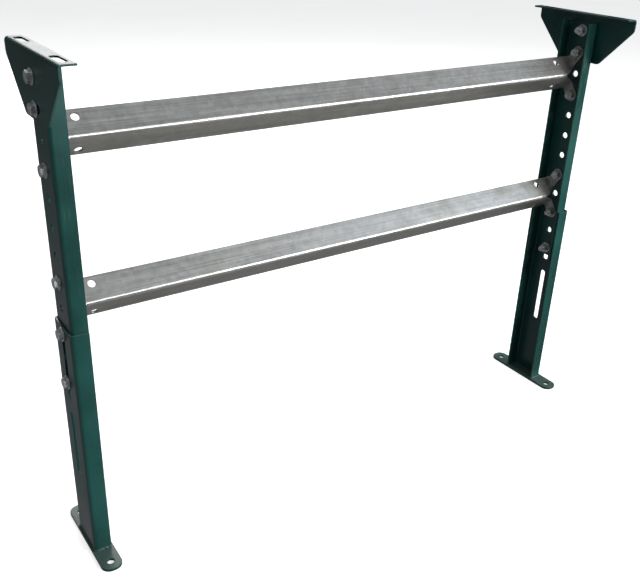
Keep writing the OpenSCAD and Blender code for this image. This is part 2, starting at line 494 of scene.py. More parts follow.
@dataclass(frozen=True)
class GreenEnamel(Finish):
    """Dark green baked enamel over steel sheet.

    It is glossy with a faint orange peel, so it mirrors its surroundings softly. It is
    thinner and paler along sheared edges, rubbing dulls it in places, and what faces up is paler.
    """

    base: str = "#114b47"
    deep: str = "#0c3734"
    worn: str = "#3a645b"
    # Paler grey-green laid over what faces up
    dust: str = "#6d7a70"
    gloss: float = 0.24
    dull: float = 0.42
    scuffed: float = 0.6
    rubbed_share: float = 0.35
    edge_share: float = 0.6
    # How much of that paler grey-green what faces up gets
    dust_share: float = 0.36
    peel_mm: float = 1.6
    cloud_mm: float = 90
    scuff_mm: float = 2.2
    scuff_squeeze: float = 0.06

    def draw(self, tree: NodeTree, shader: Node, place: Any) -> None:
        """Draws the finish's nodes.

        Args:
            tree: The material's node tree.
            shader: Its principled shader.
            place: Object coordinates, in metres.
        """
        cloud = add_node(
            tree, "TexNoise", {"Scale": per(self.cloud_mm), "Detail": 4.0}, Vector=place
        ).outputs["Fac"]
        coat = ramp(tree, cloud, [(0.35, self.deep), (0.65, self.base)])
        # Rubbing runs up and down the leg, where the two legs slide and cartons pass
        stretched = add_node(
            tree, "Mapping", {"Scale": (1.0, 1.0, self.scuff_squeeze)}, Vector=place
        ).outputs["Vector"]
        scuff = add_node(
            tree,
            "TexNoise",
            {"Scale": per(self.scuff_mm), "Detail": 3.0, "Roughness": 0.6},
            Vector=stretched,
        ).outputs["Fac"]
        rubbed = laid_over(tree, coat, scuff, (0.62, 0.8), self.rubbed_share, self.worn)
        # Paint draws back from sharp edges, so they are paler
        geometry = add_node(tree, "NewGeometry")
        edge = geometry.outputs["Pointiness"]
        edged = laid_over(tree, rubbed, edge, (0.53, 0.62), self.edge_share, self.worn)
        # What faces up has a paler grey-green laid over it
        facing = add_node(tree, "SeparateXYZ", Vector=geometry.outputs["Normal"]).outputs["Z"]
        upward_tinted = laid_over(tree, edged, facing, (0.6, 1.0), self.dust_share, self.dust)
        dullness = add_node(
            tree,
            "Math",
            {"operation": "MAXIMUM"},
            in0=add_node(
                tree, "MapRange", {1: 0.3, 2: 0.75, 3: self.gloss, 4: self.dull}, Value=cloud
            ).outputs["Result"],
            in1=add_node(
                tree, "MapRange", {1: 0.55, 2: 0.8, 3: self.gloss, 4: self.scuffed}, Value=scuff
            ).outputs["Result"],
        ).outputs["Value"]
        peel = add_node(
            tree, "TexNoise", {"Scale": per(self.peel_mm), "Detail": 2.0}, Vector=place
        ).outputs["Fac"]
        bump = add_node(
            tree, "Bump", {"Strength": 0.12, "Distance": 0.1 * MM}, Height=peel
        ).outputs["Normal"]
        tree.links.new(upward_tinted, shader.inputs["Base Color"])
        tree.links.new(dullness, shader.inputs["Roughness"])
        tree.links.new(bump, shader.inputs["Normal"])
        shader.inputs["IOR"].default_value = 1.5


@dataclass(frozen=True)
class GalvanisedSheet(Finish):
    """Hot-dip galvanised steel sheet.

    Its zinc sets in flat crystals that each catch the light a little differently. Rolling
    leaves streaks along the sheet, and the zinc has weathered to a soft grey bloom.
    """

    light: str = "#cbccca"
    grey: str = "#8e8f8d"
    # Colour of the real stains, and also of the painted shade on faces that turn down
    stain: str = "#75715c"
    flake_weight: float = 0.1
    streak_weight: float = 0.7
    cloud_weight: float = 0.25
    stain_share: float = 0.5
    # How much painted shade the faces that turn down get
    grime_share: float = 0.4
    metal_share: float = 0.7
    crystal_mm: float = 7
    ragged_mm: float = 4
    warp_mm: float = 2
    streak_mm: float = 2.5
    streak_squeeze: float = 0.012
    cloud_mm: float = 80
    wave_mm: float = 160

    def draw(self, tree: NodeTree, shader: Node, place: Any) -> None:
        """Draws the finish's nodes.

        Args:
            tree: The material's node tree.
            shader: Its principled shader.
            place: Object coordinates, in metres.
        """
        ragged = add_node(
            tree, "TexNoise", {"Scale": per(self.ragged_mm), "Detail": 2.0}, Vector=place
        ).outputs["Color"]
        warped = add_node(
            tree,
            "VectorMath",
            {"operation": "MULTIPLY_ADD", 1: [self.warp_mm * MM] * 3},
            in0=ragged,
            in2=place,
        ).outputs["Vector"]
        crystal = add_node(
            tree, "TexVoronoi", {"Scale": per(self.crystal_mm)}, Vector=warped
        ).outputs["Color"]
        flake = add_node(tree, "SeparateColor", Color=crystal).outputs["Red"]
        # Rolling draws its streaks out along the sheet
        drawn = add_node(
            tree, "Mapping", {"Scale": (self.streak_squeeze, 1.0, 1.0)}, Vector=place
        ).outputs["Vector"]
        streak = add_node(
            tree,
            "TexNoise",
            {"Scale": per(self.streak_mm), "Detail": 5.0, "Roughness": 0.65},
            Vector=drawn,
        ).outputs["Fac"]
        cloud = add_node(
            tree, "TexNoise", {"Scale": per(self.cloud_mm), "Detail": 4.0}, Vector=place
        ).outputs["Fac"]
        tone = add_node(
            tree, "Math", {"operation": "MULTIPLY", 1: self.cloud_weight}, in0=cloud
        ).outputs["Value"]
        for weight, source in ((self.streak_weight, streak), (self.flake_weight, flake)):
            settings = {"operation": "MULTIPLY_ADD", 1: weight}
            tone = add_node(tree, "Math", settings, in0=source, in2=tone).outputs["Value"]
        zinc = ramp(tree, tone, [(0.3, self.grey), (0.72, self.light)])
        stained = laid_over(tree, zinc, cloud, (0.5, 0.7), self.stain_share, self.stain)
        # The underside keeps the mill's grime, and rain never washes it
        # Painted shade: faces that turn down get the stain colour laid over them, so they are
        # darker than the faces that turn up
        facing = add_node(
            tree, "SeparateXYZ", Vector=add_node(tree, "NewGeometry").outputs["Normal"]
        ).outputs["Z"]
        underside_shaded = laid_over(tree, stained, facing, (-0.1, -0.6), self.grime_share, self.stain)
        rough = add_node(
            tree, "MapRange", {1: 0.25, 2: 0.8, 3: 0.26, 4: 0.4}, Value=tone
        ).outputs["Result"]
        grain = add_node(
            tree, "Bump", {"Strength": 0.2, "Distance": 0.08 * MM}, Height=streak
        ).outputs["Normal"]
        facet = add_node(
            tree, "Bump", {"Strength": 0.06, "Distance": 0.05 * MM}, Height=flake, Normal=grain
        ).outputs["Normal"]
        # Cold-rolled sheet is never quite flat, so its reflections wander
        wave = add_node(
            tree, "TexNoise", {"Scale": per(self.wave_mm), "Detail": 1.0}, Vector=place
        ).outputs["Fac"]
        bump = add_node(
            tree, "Bump", {"Strength": 0.5, "Distance": 4 * MM}, Height=wave, Normal=facet
        ).outputs["Normal"]
        tree.links.new(underside_shaded, shader.inputs["Base Color"])
        tree.links.new(rough, shader.inputs["Roughness"])
        tree.links.new(bump, shader.inputs["Normal"])
        shader.inputs["Metallic"].default_value = self.metal_share


@dataclass(frozen=True)
class BrightZincPlate(Finish):
    """Bright zinc plating on forged bolts, nuts and stamped washers.

    It is a thin, shiny, slightly blue metal that keeps the fine texture of what it covers.
    """

    light: str = "#e4e6e5"
    shade: str = "#b4b7b5"
    metal_share: float = 0.8
    blotch_mm: float = 5
    pit_mm: float = 0.8

    def draw(self, tree: NodeTree, shader: Node, place: Any) -> None:
        """Draws the finish's nodes.

        Args:
            tree: The material's node tree.
            shader: Its principled shader.
            place: Object coordinates, in metres.
        """
        blotch = add_node(
            tree, "TexNoise", {"Scale": per(self.blotch_mm), "Detail": 3.0}, Vector=place
        ).outputs["Fac"]
        pit = add_node(
            tree, "TexNoise", {"Scale": per(self.pit_mm), "Detail": 2.0}, Vector=place
        ).outputs["Fac"]
        rough = add_node(
            tree, "MapRange", {1: 0.3, 2: 0.7, 3: 0.3, 4: 0.48}, Value=blotch
        ).outputs["Result"]
        bump = add_node(
            tree, "Bump", {"Strength": 0.15, "Distance": 0.05 * MM}, Height=pit
        ).outputs["Normal"]
        plated = ramp(tree, blotch, [(0.3, self.shade), (0.6, self.light)])
        tree.links.new(plated, shader.inputs["Base Color"])
        tree.links.new(rough, shader.inputs["Roughness"])
        tree.links.new(bump, shader.inputs["Normal"])
        shader.inputs["Metallic"].default_value = self.metal_share


@dataclass(frozen=True)
class StudioFloor(Finish):
    """White acrylic table top, softly lit from below so that shadows stay pale."""

    paint: str = "#f6f6f4"
    shade: str = "#efefed"
    glow: float = 0.65
    cloud_mm: float = 400

    def draw(self, tree: NodeTree, shader: Node, place: Any) -> None:
        """Draws the finish's nodes.

        Args:
            tree: The material's node tree.
            shader: Its principled shader.
            place: Object coordinates, in metres.
        """
        cloud = add_node(
            tree, "TexNoise", {"Scale": per(self.cloud_mm), "Detail": 3.0}, Vector=place
        ).outputs["Fac"]
        paint = ramp(tree, cloud, [(0.3, self.shade), (0.7, self.paint)])
        tree.links.new(paint, shader.inputs["Base Color"])
        shader.inputs["Roughness"].default_value = 0.75
        shader.inputs["Emission Strength"].default_value = self.glow


# The stand


@dataclass
class Stand:
    """What all of the stand's pieces share: its record, its finishes and its row of holes."""

    record: dict[str, Any] = field(default_factory=lambda: frame["record"])
    finishes: dict[str, Material] = field(init=False)
    leg_sheet: float = 2.7 * MM
    leg_bend: float = 3 * MM
    bolt_hole: float = 11 * MM
    hole_count: int = 12

    def __post_init__(self) -> None:
        """Makes the finishes, by the record's slots."""
        self.finishes = {
            "green_paint": GreenEnamel("green_baked_enamel").make(),
            "galvanised_sheet": GalvanisedSheet("galvanised_steel_sheet").make(),
            "zinc_plate": BrightZincPlate("bright_zinc_plate").make(),
        }

    def mount(self, name: str) -> dict[str, Any]:
        """The record's mount of that name."""
        return next(mount for mount in self.record["mounts"] if mount["name"] == name)

    def centre(self, node: str) -> Vector:
        """Middle of a node's box."""
        low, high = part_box(node)
        return (low + high) / 2

    def web_ends(self, side: Side, node: str, sheet: float) -> list[float]:
        """X of the two ends of a cutter through the web of a side's node, the inner end first.

        Args:
            side: The leg.
            node: The node that has the web.
            sheet: Thickness of the web.

        Returns:
            X of the inner end and of the outer one.
        """
        low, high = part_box(node)
        web = max(abs(low.x), abs(high.x))
        return [side.value * (web - 2 * sheet), side.value * (web + OVERCUT)]

    def row_heights(self, side: Side) -> list[float]:
        """Heights of the holes along an upper leg, from the top one down.

        Args:
            side: The leg.

        Returns:
            The heights, an even pitch apart.
        """
        top = self.centre(side.node("pivot_bolt")).z
        pitch = top - self.centre(side.node("tilt_lock_bolt")).z
        return [top - pitch * step for step in range(self.hole_count)]

    def hand_over(self, piece: Object, node: str, body: str, slot: str) -> None:
        """Dresses a finished piece and puts it in a node's place.

        Args:
            piece: The finished piece.
            node: The CAD node that it stands for.
            body: The body that it moves with.
            slot: The record's material slot, which chooses its finish.
        """
        piece.data.materials.clear()
        piece.data.materials.append(self.finishes[slot])
        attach(piece, body)
        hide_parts(node)
        LOG.info("%s: %d faces, on %s", piece.name, len(piece.data.polygons), body)


@dataclass
class Leg:
    """One telescoping leg: upper channel, lower channel, foot plate and weld."""

    stand: Stand
    side: Side
    slot_length: float = 110 * MM
    slot_bridge: float = 24.4 * MM
    lower_top_margin: float = 4.4 * MM
    foot_corner: float = 14 * MM
    edge: float = 0.35 * MM
    bead: float = 2.5 * MM
    bead_step: float = 2.1 * MM
    bead_sizes: tuple[float, float] = (0.82, 1.05)
    bead_grain: float = 0.45 * MM

    def channel(self, name: str, node: str) -> Object:
        """Folds a channel that fills a node's box and opens towards the middle of the stand.

        Args:
            name: Name of the channel.
            node: The node whose box it fills.

        Returns:
            The channel, without its holes.
        """
        low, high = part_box(node)
        sign = self.side.value
        piece = block(name, low, high)
        outer = max(sign * low.x, sign * high.x)
        with editing(piece):
            pick(
                piece,
                Part.FACE,
                lambda face: abs(face.normal.z) > FACING or face.normal.x * sign < -FACING,
            )
            bpy.ops.mesh.delete(type="FACE")
            pick(
                piece,
                Part.EDGE,
                lambda edge: len(edge.link_faces) == 2
                and all(abs(point.co.x * sign - outer) < LEVEL for point in edge.verts),
            )
            radius = self.stand.leg_bend + self.stand.leg_sheet
            bpy.ops.mesh.bevel(offset=radius, segments=BEND_STEPS, affect="EDGES")
        thicken(piece, self.stand.leg_sheet)
        return piece

    def upper(self) -> None:
        """Builds the upper leg, with its row of holes."""
        node = self.side.node("upper_leg")
        piece = self.channel(f"{node}_painted", node)
        ends = self.stand.web_ends(self.side, node, self.stand.leg_sheet)
        holes = [
            through_web("hole", ends, Vector((0, 0, height)), self.stand.bolt_hole / 2)
            for height in self.stand.row_heights(self.side)
        ]
        work(piece, joined("holes", holes), Join.CUT)
        soften(piece, self.edge)
        self.stand.hand_over(piece, node, "frame", "green_paint")

    def lower(self) -> None:
        """Builds the lower leg, with its two adjusting slots."""
        node = self.side.node("lower_leg")
        piece = self.channel(f"{node}_painted", node)
        ends = sorted(self.stand.web_ends(self.side, node, self.stand.leg_sheet))
        half = self.stand.bolt_hole / 2
        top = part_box(node)[1].z - self.lower_top_margin
        for start in (top, top - self.slot_length - self.slot_bridge):
            tool = slot_tool(
                "slot",
                Vector((ends[0], -half, start - self.slot_length)),
                Vector((ends[1], half, start)),
                across=1,
                along=2,
            )
            work(piece, tool, Join.CUT)
        soften(piece, self.edge)
        self.stand.hand_over(piece, node, self.side.node("leg"), "green_paint")

    def foot(self) -> None:
        """Builds the foot plate, with its anchor holes."""
        node = self.side.node("foot_plate")
        low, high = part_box(node)
        anchors = self.stand.mount(self.side.node("floor_anchors"))
        piece = block(f"{node}_painted", low, high)
        with editing(piece):
            pick(
                piece,
                Part.EDGE,
                lambda edge: abs(edge.verts[0].co.z - edge.verts[1].co.z) > (high.z - low.z) / 2,
            )
            bpy.ops.mesh.bevel(offset=self.foot_corner, segments=14, affect="EDGES")
        reach = anchors["dims"]["spacing_y_mm"] * MM / 2
        holes = [
            rod(
                "anchor",
                Vector((anchors["pos_m"][0], end * reach, low.z - OVERCUT)),
                Vector((anchors["pos_m"][0], end * reach, high.z + OVERCUT)),
                anchors["dims"]["hole_r_mm"] * MM,
            )
            for end in (-1, 1)
        ]
        work(piece, joined("anchors", holes), Join.CUT)
        soften(piece, 2 * self.edge, segments=3)
        self.stand.hand_over(piece, node, self.side.node("leg"), "green_paint")

    def bead_path(self) -> list[Vector]:
        """Points along the foot of the lower leg, from one flange tip round to the other."""
        low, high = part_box(self.side.node("lower_leg"))
        outer = max(abs(low.x), abs(high.x))
        inner = min(abs(low.x), abs(high.x))
        radius = self.stand.leg_bend + self.stand.leg_sheet
        corners = [
            Vector((inner + self.bead, low.y)),
            Vector((outer - radius, low.y)),
            *[
                Vector(
                    (
                        outer - radius + radius * math.sin(turn),
                        low.y + radius - radius * math.cos(turn),
                    )
                )
                for turn in (math.pi / 8, math.pi / 4, 3 * math.pi / 8)
            ],
            Vector((outer, low.y + radius)),
        ]
        corners += [Vector((corner.x, -corner.y)) for corner in reversed(corners)]
        path: list[Vector] = []
        spare = 0.0
        for start, end in zip(corners, corners[1:]):
            length = (end - start).length
            while spare <= length:
                spot = start.lerp(end, spare / length)
                path.append(Vector((self.side.value * spot.x, spot.y, low.z)))
                spare += self.bead_step
            spare -= length
        return path

    def weld(self) -> None:
        """Builds the weld bead as overlapping ripples, flowed into one skin."""
        node = self.side.node("foot_weld")
        rng = random.Random(node)
        ripples = []
        for spot in self.bead_path():
            size = self.bead * rng.uniform(*self.bead_sizes)
            bpy.ops.mesh.primitive_uv_sphere_add(
                segments=14, ring_count=8, radius=size, location=spot
            )
            ripples.append(newest("ripple"))
        piece = joined(f"{node}_painted", ripples)
        piece.data.remesh_voxel_size = self.bead_grain
        select_only(piece)
        bpy.ops.object.voxel_remesh()
        bpy.ops.object.shade_smooth()
        self.stand.hand_over(piece, node, self.side.node("leg"), "green_paint")

    def build(self) -> None:
        """Builds the leg's pieces."""
        self.upper()
        self.lower()
        self.foot()
        self.weld()


@dataclass
class SwivelBracket:
    """The bent plate on top of a leg that the conveyor's side rail is bolted to."""

    stand: Stand
    side: Side
    sheet: float = 2.7 * MM
    bend: float = 3 * MM
    end_height: float = 20.5 * MM
    foot_width: float = 84 * MM
    corner: float = 10 * MM
    tilt: float = math.radians(18)
    slot_steps: int = 12
    pivot_radius: float = 4.83 * MM
    edge: float = 0.35 * MM

    def slope_cut(self, end: int) -> None:
        """Cuts off one lower corner of the surface in edit mode.

        Args:
            end: 1 for the back corner and -1 for the front one.
        """
        low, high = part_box(self.side.node("swivel_bracket"))
        shoulder = Vector((0, high.y, high.z - self.end_height))
        foot = Vector((0, self.foot_width / 2, low.z))
        run = foot - shoulder
        outwards = Vector((0, -run.z, run.y)).normalized()
        if outwards.y < 0:
            outwards = -outwards
        bpy.ops.mesh.select_all(action="SELECT")
        bpy.ops.mesh.bisect(
            plane_co=(0, end * shoulder.y, shoulder.z),
            plane_no=(0, end * outwards.y, outwards.z),
            clear_outer=True,
        )

    def round_corners(self, piece: Object) -> None:
        """Rounds the web's four lower corners, in edit mode.

        Args:
            piece: The bracket's surface, which is in edit mode.
        """
        low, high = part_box(self.side.node("swivel_bracket"))
        shoulder = high.z - self.end_height
        slope = math.atan2(shoulder - low.z, high.y - self.foot_width / 2)
        for height, turned in ((shoulder, math.pi / 2 - slope), (low.z, slope)):
            pick(piece, Part.VERT, lambda point: abs(point.co.z - height) < LEVEL)
            tangent = self.corner * math.tan(turned / 2)
            bpy.ops.mesh.bevel(offset=tangent, segments=BEND_STEPS, affect="VERTICES")

    def tilt_slot_tools(self, pivot: Vector, radius: float, web: list[float]) -> list[Object]:
        """Makes the cutters of the curved slot that the tilt lock bolt runs in.

        Args:
            pivot: Centre of the pivot bolt.
            radius: Distance from the pivot to the tilt lock bolt.
            web: The two X values that the cutters run between.

        Returns:
            A curved bar and a round one at each end of it.
        """
        half = self.stand.bolt_hole / 2
        ends = []
        for turn in (-self.tilt, self.tilt):
            spot = pivot + Vector((0, math.sin(turn), -math.cos(turn))) * radius
            ends.append(through_web("end", web, spot, half))
        bar = block(
            "bar",
            Vector((web[0], pivot.y, pivot.z - radius - half)),
            Vector((web[1], pivot.y + 1 * MM, pivot.z - radius + half)),
        )
        with editing(bar):
            pick(bar, Part.FACE, lambda face: face.normal.y > -FACING)
            bpy.ops.mesh.delete(type="FACE")
            bpy.ops.mesh.select_all(action="SELECT")
            bpy.ops.mesh.spin(
                steps=self.slot_steps,
                angle=2 * self.tilt,
                center=(0, pivot.y, pivot.z),
                axis=(1, 0, 0),
            )
            face_outwards()
        turned = Matrix.Rotation(self.swung(bar, pivot), 4, "X")
        bar.matrix_world = Matrix.Translation(pivot) @ turned @ Matrix.Translation(-pivot)
        settle(bar)
        return [bar, *ends]

    def swung(self, bar: Object, pivot: Vector) -> float:
        """Turn about X that centres a spun bar below the pivot."""
        middle = sum((point.co for point in bar.data.vertices), Vector()) / len(bar.data.vertices)
        return -math.atan2(middle.y - pivot.y, pivot.z - middle.z)

    def build(self) -> None:
        """Builds the bracket."""
        node = self.side.node("swivel_bracket")
        sign = self.side.value
        low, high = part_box(node)
        piece = block(f"{node}_painted", low, high)
        with editing(piece):
            pick(
                piece,
                Part.FACE,
                lambda face: face.normal.z < FACING and face.normal.x * sign < FACING,
            )
            bpy.ops.mesh.delete(type="FACE")
            pick(piece, Part.EDGE, lambda edge: len(edge.link_faces) == 2)
            bpy.ops.mesh.bevel(offset=self.bend + self.sheet, segments=BEND_STEPS, affect="EDGES")
            for end in (-1, 1):
                self.slope_cut(end)
            self.round_corners(piece)
        thicken(piece, self.sheet)
        web = self.stand.web_ends(self.side, node, self.sheet)
        pivot = self.stand.centre(self.side.node("pivot_bolt"))
        lock = self.stand.centre(self.side.node("tilt_lock_bolt"))
        pivot.x = 0
        for tool in self.tilt_slot_tools(pivot, pivot.z - lock.z, web):
            work(piece, tool, Join.CUT)
        work(piece, through_web("bore", web, pivot, self.pivot_radius), Join.CUT)
        slots = self.stand.mount(self.side.node("conveyor_slots"))
        dims = slots["dims"]
        for end in (-1, 1):
            middle = Vector((slots["pos_m"][0], end * dims["spacing_y_mm"] * MM / 2, high.z))
            half = Vector((dims["hole_r_mm"] * MM, dims["slot_length_mm"] * MM / 2, 2 * self.sheet))
            tool = slot_tool("slot", middle - half, middle + half, across=0, along=1)
            work(piece, tool, Join.CUT)
        soften(piece, self.edge)
        self.stand.hand_over(piece, node, self.side.node("bracket"), "green_paint")


@dataclass
class CrossMember:
    """A V-section sheet member with two end tabs on each leg."""

    stand: Stand
    node: str
    face: float = 40 * MM
    sheet: float = 2.7 * MM
    half_angle: float = math.radians(47)
    bend: float = 3 * MM
    notch: float = 31 * MM
    notch_point: float = 0.02
    tab_start: float = 18 * MM
    tab_radius: float = 11 * MM
    spare_reach: float = 29 * MM
    spare_inset: float = 47 * MM
    edge: float = 0.3 * MM

    def frame_of_face(self, bend_line: Vector, up: int) -> Matrix:
        """Matrix whose X runs along the member, Y along one face and Z out of it.

        Args:
            bend_line: A point on the outer line of the bend.
            up: 1 for the upper face and -1 for the lower one.

        Returns:
            The matrix.
        """
        away = Vector((0, math.cos(self.half_angle), up * math.sin(self.half_angle)))
        out = Vector((0, -math.sin(self.half_angle), up * math.cos(self.half_angle)))
        axes = Matrix((Vector((1, 0, 0)), away, out)).transposed()
        return Matrix.Translation(bend_line) @ axes.to_4x4()

    def strip(self, reach: float, bend_line: Vector) -> Object:
        """Folds the V as a sheet from one leg's web to the other's.

        Args:
            reach: Half of the member's length.
            bend_line: The middle of the outer line of the bend.

        Returns:
            The thickened V.
        """
        bpy.ops.mesh.primitive_plane_add(size=1)
        piece = bpy.context.active_object
        with editing(piece):
            bpy.ops.mesh.select_all(action="SELECT")
            bpy.ops.transform.translate(value=(0, 0.5, 0))
        piece.scale = (2 * reach, self.face, 1)
        piece.rotation_euler = (self.half_angle, 0, 0)
        piece.location = bend_line
        piece = newest(f"{self.node}_galvanised")
        down = Vector((0, math.cos(self.half_angle), -math.sin(self.half_angle))) * self.face
        with editing(piece):
            pick(
                piece,
                Part.EDGE,
                lambda edge: all(abs(point.co.z - bend_line.z) < LEVEL for point in edge.verts),
            )
            bpy.ops.mesh.extrude_region_move(TRANSFORM_OT_translate={"value": down})
            pick(piece, Part.EDGE, lambda edge: len(edge.link_faces) == 2)
            radius = self.bend + self.sheet
            bpy.ops.mesh.bevel(
                offset=radius / math.tan(self.half_angle), segments=10, affect="EDGES"
            )
            face_outwards()
        facing = sum((face.normal.y * face.area for face in piece.data.polygons), 0.0)
        if facing > 0:
            with editing(piece):
                bpy.ops.mesh.select_all(action="SELECT")
                bpy.ops.mesh.flip_normals()
        thicken(piece, self.sheet)
        return piece

    def notch_tool(self, side: Side, reach: float, bend_line: Vector) -> Object:
        """Makes the wedge that clears the bend away at one end.

        Args:
            side: The end that is cleared.
            reach: Half of the member's length.
            bend_line: The middle of the outer line of the bend.

        Returns:
            The wedge.
        """
        mouth = self.tab_start * math.sin(self.half_angle)
        past = 1 + OVERCUT / self.notch
        spot = bend_line + Vector((side.value * (reach + OVERCUT - self.notch * past / 2), 0, 0))
        half = Vector((self.notch * past / 2, self.face, mouth * past))
        tool = block("notch", spot - half, spot + half)
        with editing(tool):
            pick(tool, Part.FACE, lambda face: face.normal.x * side.value < -FACING)
            bpy.ops.transform.resize(value=(1, 1, self.notch_point), center_override=spot)
        return tool

    def tab(self, side: Side, up: int, reach: float, bend_line: Vector, hole: Vector) -> Object:
        """Makes one end tab, which lies flat on the leg's web.

        Args:
            side: The leg that it is bolted to.
            up: 1 for the tab of the upper face and -1 for the lower one.
            reach: Half of the member's length.
            bend_line: The middle of the outer line of the bend.
            hole: Centre of the tab's bolt.

        Returns:
            The tab, without its hole.
        """
        turn = self.frame_of_face(bend_line, up)
        spot = turn.inverted() @ Vector((0, hole.y, hole.z))
        low = Vector((reach - self.sheet, spot.y - self.tab_radius, -self.sheet))
        high = Vector((reach, spot.y + self.tab_radius, spot.z + self.tab_radius))
        if side is Side.LEFT:
            low.x, high.x = -high.x, -low.x
        piece = block("tab", low, high)
        with editing(piece):
            pick(
                piece,
                Part.EDGE,
                lambda edge: all(abs(point.co.z - high.z) < LEVEL for point in edge.verts)
                and abs(edge.verts[0].co.y - edge.verts[1].co.y) < LEVEL,
            )
            bpy.ops.mesh.bevel(offset=self.tab_radius * 0.99, segments=12, affect="EDGES")
            pick(piece, Part.VERT, lambda point: abs(point.co.z - low.z) < LEVEL)
            bpy.ops.transform.translate(value=(0, self.tab_start - low.y, 0))
        piece.matrix_world = turn
        settle(piece)
        with editing(piece):
            face_outwards()
        return piece

    def build(self) -> None:
        """Builds the member."""
        low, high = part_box(self.node)
        reach = high.x
        rows = self.stand.row_heights(Side.RIGHT)
        pitch = rows[0] - rows[1]
        middle = (low + high) / 2
        depth = self.face * math.cos(self.half_angle) + self.sheet * math.sin(self.half_angle)
        bend_line = Vector((0, high.y - depth, middle.z))
        piece = self.strip(reach, bend_line)
        for side in Side:
            work(piece, self.notch_tool(side, reach, bend_line), Join.CUT)
        for side in Side:
            for up in (1, -1):
                hole = Vector((side.value * reach, 0, middle.z + up * pitch))
                work(piece, self.tab(side, up, reach, bend_line, hole), Join.WELD)
                inward = Vector((side.value * 2 * self.sheet, 0, 0))
                past = Vector((side.value * OVERCUT, 0, 0))
                bolt_way = rod("hole", hole - inward, hole + past, self.stand.bolt_hole / 2)
                work(piece, bolt_way, Join.CUT)
                turn = self.frame_of_face(bend_line, up)
                web = reach + self.stand.leg_sheet
                spare_x = side.value * (web - self.spare_inset)
                spare = rod(
                    "spare",
                    turn @ Vector((spare_x, self.spare_reach, -2 * self.sheet)),
                    turn @ Vector((spare_x, self.spare_reach, OVERCUT)),
                    self.stand.bolt_hole / 2,
                )
                work(piece, spare, Join.CUT)
        soften(piece, self.edge)
        self.stand.hand_over(piece, self.node, "frame", "galvanised_sheet")


